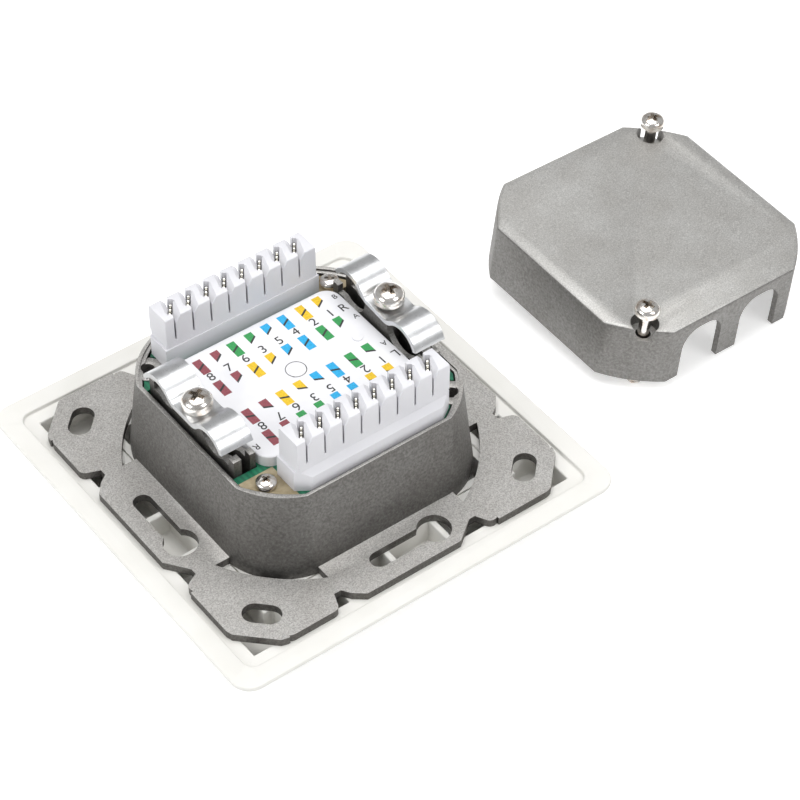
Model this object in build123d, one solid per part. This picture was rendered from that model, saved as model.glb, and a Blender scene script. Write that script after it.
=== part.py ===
from build123d import *
import math
import os

# Two port shielded network wall outlet, seen from its wiring side, lid off and lying beside it.
# Millimetres.  Origin: centre of the front face of the plate, which lies on the floor.
# +Z points away from the room, X runs along the terminal blocks, Y runs across them.

# Plate
plate_w = 80.0
plate_h = 8.0
plate_r = 3.75
plate_edge_h = 0.9
plate_slope = 6.6
plate_front_r = 2.2
rim_w = 3.9
rim_step = 0.8
ledge_w = 2.7
skin_t = 2.4
insert_w = 50.0
insert_play = 0.15
collar_t = 1.8
rib_t = 1.2

# Carrier, the flat part of the casting
carrier_play = 1.2
carrier_t = 1.6
ear_chamfer = 7.4
notch_deep = 3.0
tongue_deep = 3.2
key_edge = 4.9
key_slot_w = 3.5
key_slot_end = -6.8
key_round_t = 6.65
key_round_d = 6.2
corner_slot_l = 6.9
corner_slot_w = 4.2
corner_slot_edge = 6.9
crescent_r = 31.6
crescent_edge = 14.4

# Box, the deep part of the casting
box_half_rim = 23.5
box_draft = 1.7
box_flat = 15.0
box_flat_base = 14.4
box_corner_cut = 3.4
box_h = 16.6
box_wall = 1.0
rim_lip_w = 0.5
rim_lip_h = 0.45

# Board
board_t = 1.6
board_below_rim = 0.8
board_play = 0.2
board_screw_dx = 4.9
board_screw_dy = 6.8
boss_d = 5.6
board_hole_d = 2.6
board_screw_d = 2.2
board_head_d = 3.7
board_head_h = 1.5

# Saddles for the cables and their clamps
saddle_inset = 1.6
saddle_t = 1.6
saddle_reach = 6.0
saddle_in_t = 1.1
saddle_len = 12.7
saddle_lug = 1.5
saddle_lug_z = 19.9
saddle_top_z = 21.5
cable_y = 7.2
cable_dip_r = 4.0
clamp_inset = 3.1
clamp_w = 6.4
clamp_t = 0.95
clamp_hump = 2.3
clamp_hump_r = 4.9
clamp_hump_y = 7.5
clamp_bend_r = 2.0
clamp_reach = 11.9
clamp_y_left = 0.6
clamp_y_right = 1.3
clamp_lean_right = 5.5
clamp_raise_right = 0.9
clamp_screw_d = 3.0
clamp_screw_l = 9.0
clamp_head_d = 5.6
clamp_head_h = 2.7

# Terminal blocks
slit_count = 8
slit_pitch = 3.73
block_y = 18.65
block_len = 31.6
block_shift = 0.5
ledge_h = 4.4
ledge_edge_h = 3.2
ledge_y_out = 3.75
ledge_y_in = 2.9
ledge_over = 0.4
ledge_cut_x = 2.5
ledge_cut_y = 1.7
post_d = 5.3
post_top = 11.1
post_gap = 0.35
post_top_gap = 1.8
post_taper_h = 1.9
post_end_drop = 0.5
post_end_run = 0.5
post_groove = 1.1
pocket_l = 4.0
pocket_w = 1.1
contact_turn = 52.0
contact_w = 3.3
contact_t = 0.5
contact_top = 10.6
contact_fork = 0.34
contact_fork_h = 5.4
tail_w = 0.7
tail_short = 0.15

# Label card
card_play = 0.5
card_w = 28.4
card_h = 2.3
card_skin = 0.8
card_wall = 1.1
card_r = 3.0
card_mark_d = 3.4
card_pip_inset = 4.0
card_pip_y = 0.6
card_pip_d = 1.9
card_pip_h = 0.25

# Sockets
port_y = 11.0
shield_w = 16.0
shield_l = 13.6
shield_t = 0.4
port_face_z = 3.5
port_w = 11.8
port_h = 6.8
latch_w = 6.2
latch_h = 2.8
port_depth = 12.4
wire_count = 8
wire_pitch = 1.02
wire_s = 0.42
window_w = 13.2
window_l = 11.4
centre_screw_d = 3.0
centre_boss_d = 5.8

# Lid
lid_x = 81.1
lid_y = 3.1
lid_turn = 1.5
lid_lean = 4.5
lid_half = 24.25
lid_flat = 15.1
lid_mid = 20.15
lid_h = 12.65
lid_t = 1.25
lid_draft = 0.15
lid_edge_r = 0.6
arch_w = 9.75
arch_h = 10.5
arch_r = 4.0
arch_y = 7.3
lid_screw_x = 18.0
lid_screw_y = 19.3
lid_sink_d = 5.3
lid_sink_h = 2.6
lid_boss_d = 6.8
lid_boss_h = 6.6
lid_hole_d = 2.8
lid_neck_d = 2.2
lid_screw_d = 3.0
lid_screw_l = 17.3
lid_head_d = 4.8
lid_head_h = 2.2

# Heights that follow from the sizes above
z_seat = plate_h - rim_step
z_carrier = z_seat + carrier_t
z_rim = z_carrier + box_h
z_board = z_rim - board_below_rim
z_board_under = z_board - board_t
z_saddle = plate_h + saddle_top_z
recess_half = plate_w / 2 - rim_w

# Places that follow from the sizes above
carrier_half = recess_half - carrier_play
key_round_n = carrier_half - key_edge
corner_slot_at = carrier_half - corner_slot_edge
box_half_base = box_half_rim + box_draft
box_mid_rim = box_half_rim - box_corner_cut
box_mid_base = box_half_base - box_corner_cut - 0.25
board_screw_x = box_half_rim - board_screw_dx
board_screw_y = box_half_rim - board_screw_dy
saddle_out = box_half_rim - saddle_inset
clamp_x = box_half_rim - clamp_inset
saddle_in = box_half_rim - saddle_reach
card_l = 2 * (saddle_in - card_play)
lid_lift = (lid_mid + lid_draft) * math.sqrt(2) * math.sin(math.radians(lid_lean))


def box_at(x0, x1, y0, y1, z0, z1):
    return Pos((x0 + x1) / 2, (y0 + y1) / 2, (z0 + z1) / 2) * Box(x1 - x0, y1 - y0, z1 - z0)


def cyl_at(x, y, z0, z1, d):
    return Pos(x, y, (z0 + z1) / 2) * Cylinder(d / 2, z1 - z0)


def octagon(half, flat, mid, z):
    # Square outline whose corners are cut by shallow convex arcs
    lines = []
    for k in range(4):
        a = Rot(0, 0, 90 * k)
        p = [(half, -flat), (half, flat), (mid, mid), (flat, half)]
        q = []
        for x, y in p:
            c = math.cos(math.radians(90 * k))
            s = math.sin(math.radians(90 * k))
            q.append((x * c - y * s, x * s + y * c))
        lines.append(Line(q[0], q[1]))
        lines.append(ThreePointArc(q[1], q[2], q[3]))
    face = make_face(Wire(lines))
    return Pos(0, 0, z) * face


def cup(*stages):
    # Tapered body through outlines given as half width, half flat, corner reach and height
    return loft([octagon(*stage) for stage in stages], ruled=True)


def solid_of(shape):
    # The largest solid of a result, free of stray slivers
    solids = sorted(shape.solids(), key=lambda s: s.volume)
    return solids[-1]


def phillips(d, depth):
    # Cross recess: two crossed wedges, narrower towards the bottom
    a = d / 2
    b = d * 0.2
    wedge = Polyline((-a, 0.2), (a, 0.2), (a, 0), (b, -depth), (-b, -depth), (-a, 0), close=True)
    bar = extrude(Rot(90, 0, 0) * make_face(wedge), amount=d * 0.12, both=True)
    return bar + Rot(0, 0, 90) * bar


def pan_screw(head_d, head_h, shank_d, shank_l):
    # Head stands on z = 0 and the shank points down
    r = head_d / 2
    outline = [
        (0, -shank_l),
        (shank_d / 2 - 0.4, -shank_l),
        (shank_d / 2, -shank_l + 0.5),
        (shank_d / 2, 0),
        (r - 0.45, 0),
        (r, 0.12),
        (r, head_h * 0.42),
        (r * 0.86, head_h * 0.74),
        (r * 0.55, head_h * 0.95),
        (0, head_h),
    ]
    body = revolve(Plane.XZ * make_face(Polyline(*outline, close=True)), Axis.Z)
    cut = Pos(0, 0, head_h + 0.05) * phillips(head_d * 0.56, head_h * 0.72)
    return solid_of(body - cut)


# Plate with its stepped rim, skin, collar and ribs
def make_cover_frame():
    # Edges slope in towards the front like a pillow
    z_edge = plate_h - plate_edge_h
    front_w = plate_w - 2 * plate_slope
    rim = RectangleRounded(plate_w, plate_w, plate_r)
    outer = loft([RectangleRounded(front_w, front_w, plate_r), Pos(0, 0, z_edge) * rim], ruled=True)
    outer = outer + Pos(0, 0, z_edge) * extrude(rim, amount=plate_edge_h)
    outer = fillet(outer.edges().group_by(Axis.Z)[0], plate_front_r)
    recess = extrude(RectangleRounded(2 * recess_half, 2 * recess_half, plate_r - 1.6), amount=plate_h)
    body = outer - Pos(0, 0, z_seat) * recess
    pocket_half = recess_half - ledge_w
    collar_half = insert_w / 2 + insert_play + collar_t
    pocket = Rectangle(2 * pocket_half, 2 * pocket_half) - Rectangle(2 * collar_half, 2 * collar_half)
    body = body - Pos(0, 0, skin_t) * extrude(pocket, amount=plate_h)
    opening = insert_w + 2 * insert_play
    body = body - extrude(Rectangle(opening, opening), amount=plate_h)
    mid = (pocket_half + collar_half) / 2
    span = pocket_half - collar_half + 0.4
    for k in range(4):
        for t in (-0.6, -0.25, 0.07, 0.4, 0.73):
            rib = Pos(t * pocket_half, mid, (skin_t + z_seat) / 2) * Box(rib_t, span, z_seat - skin_t)
            body = body + Rot(0, 0, 90 * k) * rib
    return solid_of(body)


# Insert in the middle of the plate with one window for each socket
def make_centre_plate():
    body = extrude(Rectangle(insert_w, insert_w), amount=skin_t)
    body = chamfer(body.edges().group_by(Axis.Z)[0], 0.4)
    for s in (-1, 1):
        window = Pos(0, s * port_y, 0) * Rectangle(window_l, window_w)
        body = body - extrude(window, amount=skin_t)
    wall = Rectangle(insert_w, insert_w) - Rectangle(insert_w - 3.0, insert_w - 3.0)
    body = body + Pos(0, 0, skin_t) * extrude(wall, amount=z_seat - skin_t)
    body = body + cyl_at(0, 0, skin_t, z_seat, centre_boss_d)
    body = body - cyl_at(0, 0, 0, z_seat, centre_screw_d + 0.4)
    sink = Cone(centre_screw_d + 0.15, centre_screw_d / 2 + 0.2, 1.6)
    body = body - Pos(0, 0, 0.8) * sink
    return solid_of(body)


def make_centre_screw():
    head = Pos(0, 0, 0.8) * Cone(centre_screw_d + 0.15, centre_screw_d / 2 + 0.2, 1.6)
    body = head + cyl_at(0, 0, 1.2, z_carrier + 1.2, centre_screw_d)
    body = body - Rot(180, 0, 0) * phillips(3.2, 1.1)
    return solid_of(body)


def carrier_outline():
    n = carrier_half
    side = [
        (-15.6, n),
        (-14.0, n - notch_deep),
        (-12.8, n - notch_deep),
        (-8.6, n + 0.1),
        (11.2, n + 0.1),
        (13.3, n - tongue_deep / 2),
        (14.4, n - tongue_deep),
        (15.8, n - tongue_deep),
        (17.0, n),
        (n - ear_chamfer, n),
    ]
    points = []
    for k in range(4):
        # Sides follow each other clockwise: t runs along the side and n points out
        a = math.radians(-90 * k)
        for t, m in side:
            points.append((t * math.cos(a) - m * math.sin(a), t * math.sin(a) + m * math.cos(a)))
    return points


def corners_between(face, near_low, near_high, far_low, far_high):
    # Corners picked by their smaller and larger distance from the two middle lines
    found = []
    for v in face.vertices():
        near = min(abs(v.X), abs(v.Y))
        far = max(abs(v.X), abs(v.Y))
        if near_low < near < near_high and far_low < far < far_high:
            found.append(v)
    return found


def make_carrier():
    n = carrier_half
    face = make_face(Polyline(*carrier_outline(), close=True))
    face = fillet(corners_between(face, n - ear_chamfer - 1, n, n - 1, n + 1), 2.4)
    face = fillet(corners_between(face, 15.3, 17.3, n - 0.9, n + 1), 1.4)
    return Pos(0, 0, z_seat) * extrude(face, amount=carrier_t)


def carrier_cuts():
    cuts = []
    z0 = z_seat - 1
    for k in range(4):
        turn = Rot(0, 0, 90 * k)
        # Keyhole: narrow slot with a round end for a screw head
        slot_l = key_round_t - key_slot_end
        slot = Pos((key_round_t + key_slot_end + key_slot_w / 2) / 2, -key_round_n) * \
            Rectangle(slot_l - key_slot_w / 2, key_slot_w)
        end = Pos(key_slot_end + key_slot_w / 2, -key_round_n) * Circle(key_slot_w / 2)
        head = Pos(key_round_t, -key_round_n) * Circle(key_round_d / 2)
        cuts.append(turn * (Pos(0, 0, z0) * extrude(slot + end + head, amount=4)))
        # Oblong slot across each corner
        oblong = Pos(corner_slot_at, -corner_slot_at) * (Rot(0, 0, 45) * SlotOverall(corner_slot_l, corner_slot_w))
        cuts.append(turn * (Pos(0, 0, z0) * extrude(oblong, amount=4)))
        # Crescent between the carrier and each corner of the box
        edge = crescent_edge + crescent_r / 2
        arc = Circle(crescent_r) & (Pos(edge, -edge) * Rectangle(crescent_r, crescent_r))
        cuts.append(turn * (Pos(0, 0, z0) * extrude(arc, amount=4)))
    return cuts


def saddle_profile(x0, x1, shift):
    # Cable trough wall: high in the middle, two round dips and an upright lug at each end
    zt = z_saddle
    zl = plate_h + saddle_lug_z
    z0 = z_carrier
    body = box_at(x0, x1, -saddle_len, saddle_len, z0, zt)
    for s in (-1, 1):
        body = body - Pos((x0 + x1) / 2, s * cable_y, zt) * (Rot(0, 90, 0) * Cylinder(cable_dip_r, x1 - x0 + 1))
        y0 = cable_y + 1.0
        y2 = saddle_len + 1.0
        body = body - box_at(x0 - 1, x1 + 1, min(s * y0, s * y2), max(s * y0, s * y2), zl, zt + 1)
        y1 = saddle_len - saddle_lug
        ya = cable_y
        lo = plate_h + saddle_top_z - cable_dip_r
        body = body - box_at(x0 - 1, x1 + 1, min(s * ya, s * y1), max(s * ya, s * y1), lo + 0.8, zt + 1)
    return Pos(0, shift, 0) * body


# Casting: carrier, box, bosses and cable saddles in one piece
def make_body():
    w = box_wall
    m = box_mid_rim
    mb = box_mid_base
    base = (box_half_base, box_flat_base, mb, z_carrier)
    rim = (box_half_rim, box_flat, m, z_rim)
    walls = cup(base, rim)
    hollow = cup((box_half_base - w, box_flat_base - 0.3, mb - w * 0.98, z_carrier),
                 (box_half_rim - w, box_flat - 0.3, m - w * 0.98, z_rim))
    body = make_carrier()
    for cut in carrier_cuts():
        body = body - cut
    plug = extrude(octagon(box_half_base, box_flat_base, mb, z_seat), amount=carrier_t)
    body = body + plug + (walls - hollow)
    # Lip along the inner edge of the rim
    w = w - rim_lip_w
    inset = octagon(box_half_rim - w, box_flat - 0.15, m - w * 0.98, z_rim - rim_lip_h)
    body = body - extrude(inset, amount=rim_lip_h + 1)
    # Bosses in the corners carry the board and take the screws
    for s in (-1, 1):
        post = cyl_at(s * board_screw_x, s * board_screw_y, z_carrier, z_board_under, boss_d)
        body = body + (post & walls)
        post = cyl_at(s * lid_screw_y, -s * lid_screw_x, z_carrier, z_board, boss_d)
        body = body + (post & walls)
    for s in (-1, 1):
        y = clamp_y(s)
        x0 = min(s * saddle_out, s * (saddle_out - saddle_t))
        body = body + saddle_profile(x0, x0 + saddle_t, y)
        x0 = min(s * saddle_in, s * (saddle_in + saddle_in_t))
        body = body + saddle_profile(x0, x0 + saddle_in_t, y)
        xa = min(s * saddle_in, s * saddle_out)
        xb = max(s * saddle_in, s * saddle_out)
        body = body + box_at(xa, xb, y - clamp_screw_d, y + clamp_screw_d, z_carrier, z_saddle)
        body = body - cyl_at(s * clamp_x, y, z_saddle - clamp_screw_l, z_saddle + 1, clamp_screw_d)
        body = body - cyl_at(s * board_screw_x, s * board_screw_y, z_board_under - 7.0, z_board, board_screw_d)
        body = body - cyl_at(s * lid_screw_y, -s * lid_screw_x, z_board - 9.0, z_board + 1, lid_screw_d - 0.5)
    # Openings in the floor let the sockets through
    for s in (-1, 1):
        body = body - box_at(-shield_l / 2 - 0.2, shield_l / 2 + 0.2, s * port_y - shield_w / 2 - 0.2,
                             s * port_y + shield_w / 2 + 0.2, z_seat - 1, z_carrier + 1)
    body = body - cyl_at(0, 0, z_seat - 1, z_carrier + 1, centre_screw_d)
    return solid_of(body)


# Board with cut corners, notches for the saddles and holes for the pins
def make_board():
    h = box_half_rim - box_wall - board_play
    face = octagon(h, box_flat - 0.4, box_mid_rim - box_wall - board_play, 0)
    board = Pos(0, 0, z_board_under) * extrude(face, amount=board_t)
    for s in (-1, 1):
        a = s * (saddle_in - 0.15)
        b = s * (box_half_rim + 1)
        y = clamp_y(s)
        y0 = y - saddle_len - 0.3
        y1 = y + saddle_len + 0.3
        board = board - box_at(min(a, b), max(a, b), y0, y1, z_board_under - 1, z_board + 1)
        board = board - cyl_at(s * board_screw_x, s * board_screw_y, z_board_under - 1, z_board + 1, board_hole_d)
        board = board - cyl_at(s * lid_screw_y, -s * lid_screw_x, z_board_under - 1, z_board + 1, boss_d + 0.5)
    for x, y in tail_places():
        board = board - Pos(x, y, z_board) * Box(1.0, 1.0, 6)
    for s in (-1, 1):
        for x, y in wire_places(s):
            board = board - Pos(x, y, z_board) * Box(0.6, 0.6, 6)
        for x in (-1, 1):
            board = board - Pos(x * (shield_l - shield_t) / 2, s * port_y, z_board) * Box(0.9, 2.0, 6)
    return solid_of(board)


def clamp_y(side):
    if side < 0:
        return clamp_y_left
    return clamp_y_right


def slit_x(i, side):
    return side * block_shift * -1 + (i - (slit_count - 1) / 2) * slit_pitch


def tail_places():
    places = []
    for side in (-1, 1):
        for i in range(slit_count):
            places.append((slit_x(i, side), side * block_y))
    return places


def wire_places(side):
    places = []
    for i in range(wire_count):
        x = -5.4
        if i % 2:
            x = -3.4
        places.append((x, side * port_y + (i - (wire_count - 1) / 2) * wire_pitch))
    return places


# Terminal block: ledge with nine posts, a fine slit between each pair and a pocket across it
def make_block():
    # Built with its outer side towards -Y and its slit line on the X axis, standing on z = 0
    half = block_len / 2
    end = half + ledge_over
    d = post_d / 2
    sill = [(-ledge_y_out, 0), (ledge_y_in, 0), (ledge_y_in, ledge_h), (-d, ledge_h), (-ledge_y_out, ledge_edge_h)]
    body = extrude(Plane.YZ * make_face(Polyline(*sill, close=True)), amount=end, both=True)
    for s in (-1, 1):
        cut = [(s * end, -ledge_y_out), (s * (end - ledge_cut_x), -ledge_y_out), (s * end, -ledge_y_out + ledge_cut_y)]
        body = body - extrude(make_face(Polyline(*cut, close=True)), amount=ledge_h)
    first = -(slit_count - 1) / 2 * slit_pitch
    for i in range(slit_count + 1):
        xa = first + (i - 1) * slit_pitch + post_gap / 2
        xb = first + i * slit_pitch - post_gap / 2
        ta = xa + (post_top_gap - post_gap) / 2
        tb = xb - (post_top_gap - post_gap) / 2
        if i == 0:
            xa = -half
            ta = -half
        if i == slit_count:
            xb = half
            tb = half
        zt = post_top
        zm = post_top - post_taper_h
        shape = [(xa, ledge_h - 0.2), (xb, ledge_h - 0.2), (xb, zm), (tb, zt), (ta, zt), (xa, zm)]
        across = extrude(Rot(90, 0, 0) * make_face(Polyline(*shape, close=True)), amount=d, both=True)
        e = post_end_run
        f = post_end_drop
        side = [(-d, 0), (d, 0), (d, zt - f), (d - e, zt), (-d + e, zt), (-d, zt - f)]
        along = extrude(Plane.YZ * make_face(Polyline(*side, close=True)), amount=block_len, both=True)
        body = body + (across & along)
    g = post_gap / 2
    w = post_groove
    for i in range(slit_count):
        x = first + i * slit_pitch
        # Pocket for the contact, turned against the slit, and a groove at each end that guides the wire
        pocket = Rot(0, 0, contact_turn) * Rectangle(pocket_l, pocket_w)
        body = body - Pos(x, 0, ledge_h) * extrude(pocket, amount=post_top)
        slot = Rot(0, 0, contact_turn) * Rectangle(contact_w, contact_t)
        body = body - Pos(x, 0, -1) * extrude(slot, amount=ledge_h + 2)
        for s in (-1, 1):
            groove = [(x - g - w, s * (d + 0.01)), (x - g, s * (d - w)), (x + g, s * (d - w)), (x + g + w, s * (d + 0.01))]
            body = body - Pos(0, 0, ledge_h) * extrude(make_face(Polyline(*groove, close=True)), amount=post_top)
    return solid_of(body)


def make_contact():
    w = contact_w / 2
    g = contact_fork / 2
    top = contact_top
    deep = top - contact_fork_h
    outline = [(-w, 0.0), (-tail_w / 2, 0.0), (-tail_w / 2, -board_t + tail_short), (tail_w / 2, -board_t + tail_short),
               (tail_w / 2, 0.0), (w, 0.0), (w, top - 0.4), (w - 0.3, top), (0.75, top), (g, top - 1.3),
               (g, deep), (-g, deep), (-g, top - 1.3), (-0.75, top), (-w + 0.3, top), (-w, top - 0.4)]
    face = Rot(90, 0, 0) * make_face(Polyline(*outline, close=True))
    return Rot(0, 0, contact_turn) * solid_of(extrude(face, amount=contact_t / 2, both=True))


def contact_row(side):
    blade = make_contact()
    row = []
    for i in range(slit_count):
        row.append(Pos(slit_x(i, side), side * block_y, z_board) * blade)
    return Compound(children=row)


# Label card: a shallow cap over the solder side of the sockets
def make_card():
    body = extrude(RectangleRounded(card_l, card_w, card_r), amount=card_h)
    inside = RectangleRounded(card_l - 2 * card_wall, card_w - 2 * card_wall, card_r - card_wall)
    body = body - extrude(inside, amount=card_h - card_skin)
    body = chamfer(body.edges().group_by(Axis.Z)[-1], 0.15)
    # Raised pip and a fine ring on the top
    body = body + cyl_at(card_l / 2 - card_pip_inset, card_pip_y, card_h - 0.2, card_h + card_pip_h, card_pip_d)
    ring = Circle(card_mark_d / 2) - Circle(card_mark_d / 2 - 0.12)
    body = body - Pos(0, 0, card_h - 0.08) * extrude(ring, amount=1)
    return Pos(0, 0, z_board) * solid_of(body)


def arc_point(centre, r, angle):
    a = math.radians(angle)
    return (centre[0] + r * math.cos(a), centre[1] + r * math.sin(a))


def strap_side(s, r, bend, level):
    # One side of the strap's edge, from the flat middle through a bend and over the hump
    hump = (s * clamp_hump_y, z_saddle + clamp_t + clamp_hump - clamp_hump_r)
    rise = level + bend - hump[1]
    run = math.sqrt((r + bend) ** 2 - rise ** 2)
    dip = (hump[0] - s * run, level + bend)
    lean = math.degrees(math.atan2(rise, run))
    reach = math.degrees(math.acos((clamp_reach - clamp_hump_y) / clamp_hump_r))
    if s > 0:
        bend_angles = (-90, -45 - lean / 2, -lean)
        hump_angles = (180 - lean, (180 - lean + reach) / 2, reach)
    else:
        bend_angles = (-90, -135 + lean / 2, -180 + lean)
        hump_angles = (lean, (180 + lean - reach) / 2, 180 - reach)
    inner = ThreePointArc(*[arc_point(dip, bend, a) for a in bend_angles])
    outer = ThreePointArc(*[arc_point(hump, r, a) for a in hump_angles])
    return [inner, outer]


# Double arched clamp bent from strip
def make_clamp(side):
    top = z_saddle + clamp_t
    edges = []
    for s in (-1, 1):
        upper = strap_side(s, clamp_hump_r, clamp_bend_r, top)
        lower = strap_side(s, clamp_hump_r - clamp_t, clamp_bend_r + clamp_t, z_saddle)
        edges.extend(upper + lower)
        edges.append(Line(upper[1] @ 1, lower[1] @ 1))
    edges.append(Line(edges[0] @ 0, edges[5] @ 0))
    edges.append(Line(edges[2] @ 0, edges[7] @ 0))
    face = Plane.YZ * make_face(Wire(edges))
    strip = extrude(face, amount=clamp_w / 2, both=True)
    strip = strip - cyl_at(0, 0, z_saddle - 1, top + 1, clamp_screw_d + 0.5)
    if side > 0:
        # Loosely held, so it leans on one edge of its seat
        edge = cable_y - cable_dip_r
        strip = Pos(0, -edge, z_saddle) * (Rot(clamp_lean_right, 0, 0) * (Pos(0, edge, -z_saddle) * strip))
    return Pos(side * clamp_x, clamp_y(side), 0) * solid_of(strip)


# Socket body with plug opening, latch channel and comb for eight spring wires
def make_housing(side):
    w = shield_w - 2 * shield_t
    l = shield_l - 2 * shield_t
    z0 = port_face_z + shield_t
    z1 = z_board_under
    body = box_at(-l / 2, l / 2, -w / 2, w / 2, z0, z1 - shield_t)
    face = port_face_z + port_depth
    body = body - box_at(-port_h / 2, port_h / 2, -port_w / 2, port_w / 2, z0 - 1, face)
    body = body - box_at(port_h / 2 - 0.1, port_h / 2 + latch_h - 1.2, -latch_w / 2, latch_w / 2, z0 - 1, face)
    body = body - box_at(port_h / 2 - 0.1, port_h / 2 + latch_h, -1.7, 1.7, z0 - 1, face)
    for i in range(wire_count):
        y = (i - (wire_count - 1) / 2) * wire_pitch
        s = wire_s / 2
        body = body - box_at(-5.9, -port_h / 2 + 0.1, y - s - 0.06, y + s + 0.06, z0 + 1.6, face + 1.2)
        x = wire_places(side)[i][0]
        a = min(x - s, -5.9)
        body = body - box_at(x - s, x + s, y - s, y + s, face, z1 + 1)
        if x > -5.0:
            body = body - box_at(-5.9, x + s, y - s, y + s, face - 0.2, face + wire_s + 0.8)
    return Pos(0, side * port_y, 0) * solid_of(body)


def make_wires(side):
    z0 = port_face_z + shield_t
    face = port_face_z + port_depth
    s = wire_s
    row = []
    for i in range(wire_count):
        y = (i - (wire_count - 1) / 2) * wire_pitch
        x = wire_places(side)[i][0]
        xa = -5.65
        top = z_board
        turn = face + 0.5
        outer = [(x - s / 2, top), (x + s / 2, top), (x + s / 2, turn - s / 2), (xa + s, turn - s / 2),
                 (xa + s, z0 + 2.6), (-3.3, z0 + 2.3), (-0.4, z0 + 8.6), (0.0, z0 + 8.4), (-3.0, z0 + 1.75),
                 (xa + 0.3, z0 + 1.9), (xa, z0 + 2.3), (xa, turn + s / 2), (x - s / 2, turn + s / 2)]
        if x < -5.0:
            outer = [(x - s / 2, top), (x + s / 2, top), (x + s / 2, z0 + 2.6), (-3.3, z0 + 2.3), (-0.4, z0 + 8.6),
                     (0.0, z0 + 8.4), (-3.0, z0 + 1.75), (x + 0.1, z0 + 1.9), (x - s / 2, z0 + 2.3)]
        face_2d = Rot(90, 0, 0) * make_face(Polyline(*outer, close=True))
        wire = extrude(face_2d, amount=s / 2, both=True)
        row.append(Pos(0, side * port_y + y, 0) * solid_of(wire))
    return Compound(children=row)


# Thin metal can round each socket, with two tabs soldered in the board
def make_shield(side):
    z1 = z_board_under
    body = box_at(-shield_l / 2, shield_l / 2, -shield_w / 2, shield_w / 2, port_face_z, z1)
    t = shield_t
    body = body - box_at(-shield_l / 2 + t, shield_l / 2 - t, -shield_w / 2 + t, shield_w / 2 - t,
                         port_face_z + t, z1 - t)
    body = body - box_at(-port_h / 2 - 0.2, port_h / 2 + latch_h + 0.2, -port_w / 2 - 0.3, port_w / 2 + 0.3, 0, 6)
    body = body - box_at(-6.1, -2.9, -4.3, 4.3, z1 - 2, z1 + 1)
    for x in (-1, 1):
        body = body + Pos(x * (shield_l - t) / 2, 0, z1 + (board_t + 0.5) / 2) * Box(t, 1.6, board_t + 0.5)
    for y in (-1, 1):
        body = body + Pos(0, y * (shield_w / 2 + 0.05), 13.5) * Box(5.0, 0.5, 1.2)
    return Pos(0, side * port_y, 0) * solid_of(body)


def lid_place():
    # The lid leans on its two screws and on one corner
    lean = Rotation(0, 0, 45) * Rot(lid_lean, 0, 0) * Rotation(0, 0, -45)
    return Pos(lid_x, lid_y, lid_lift) * (Rotation(0, 0, lid_turn) * lean)


# Lid as it lies beside the outlet, arches on two of its sides
def make_lid():
    d = lid_draft
    r = lid_edge_r
    t = lid_t
    q = r * 0.3
    outer = cup((lid_half + d, lid_flat, lid_mid + d, 0), (lid_half, lid_flat, lid_mid, lid_h - r),
                (lid_half - q, lid_flat - q * 0.3, lid_mid - q, lid_h - q), (lid_half - r, lid_flat - r * 0.3, lid_mid - r, lid_h))
    inner = cup((lid_half + d - t, lid_flat - 0.35, lid_mid + d - t, 0),
                (lid_half - t, lid_flat - 0.35, lid_mid - t, lid_h - t))
    body = outer - inner
    # Thickened corners round the two screws, sunk for the heads
    for s in (-1, 1):
        boss = cyl_at(s * lid_screw_x, s * lid_screw_y, lid_h - lid_boss_h, lid_h - t, lid_boss_d)
        body = body + (boss & outer)
    for s in (-1, 1):
        arch = Pos(s * arch_y, 0) * RectangleRounded(arch_w, 2 * arch_h, arch_r)
        tunnel = extrude(Rot(90, 0, 0) * arch, amount=lid_half + 2, both=True)
        keep = box_at(-lid_half, lid_half, -lid_flat, lid_flat, -lid_h, 2 * lid_h)
        body = body - (tunnel - keep)
        body = body - cyl_at(s * lid_screw_x, s * lid_screw_y, 0, lid_h + 1, lid_hole_d)
        body = body - cyl_at(s * lid_screw_x, s * lid_screw_y, -1, lid_h - lid_boss_h, lid_screw_d + 0.5)
        body = body - cyl_at(s * lid_screw_x, s * lid_screw_y, lid_h - lid_sink_h, lid_h + 1, lid_sink_d)
    return lid_place() * solid_of(body)


def lid_screw(side):
    # Captive screw: its narrow neck runs in the lid and its thicker end stands on the floor
    tilt = math.radians(lid_lean)
    x = side * lid_screw_x
    y = side * lid_screw_y
    tip_r = lid_screw_d / 2 - 0.4
    low = lid_lift + (y - x) / math.sqrt(2) * math.sin(tilt) - tip_r * math.sin(tilt)
    tip = -low / math.cos(tilt)
    screw = pan_screw(lid_head_d, lid_head_h, lid_neck_d, lid_screw_l)
    thread = -tip + lid_h - lid_boss_h - 0.1
    end = revolve(Plane.XZ * make_face(Polyline((0, 0), (tip_r, 0), (lid_screw_d / 2, 0.4), (lid_screw_d / 2, thread),
                                                (0, thread), close=True)), Axis.Z)
    screw = Pos(0, 0, tip + lid_screw_l) * screw + Pos(0, 0, tip) * end
    return lid_place() * (Pos(x, y, 0) * solid_of(screw))


def board_screw(side):
    screw = pan_screw(board_head_d, board_head_h, board_screw_d, 6.0)
    return Pos(side * board_screw_x, side * board_screw_y, z_board) * screw


def clamp_screw(side):
    screw = pan_screw(clamp_head_d, clamp_head_h, clamp_screw_d, clamp_screw_l)
    z = z_saddle + clamp_t
    if side > 0:
        z = z + clamp_raise_right
    return Pos(side * clamp_x, clamp_y(side), z) * screw


block = make_block()
block_front = Pos(block_shift, -block_y, z_board) * block
block_back = Pos(-block_shift, block_y, z_board) * (Rot(0, 0, 180) * block)

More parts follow.
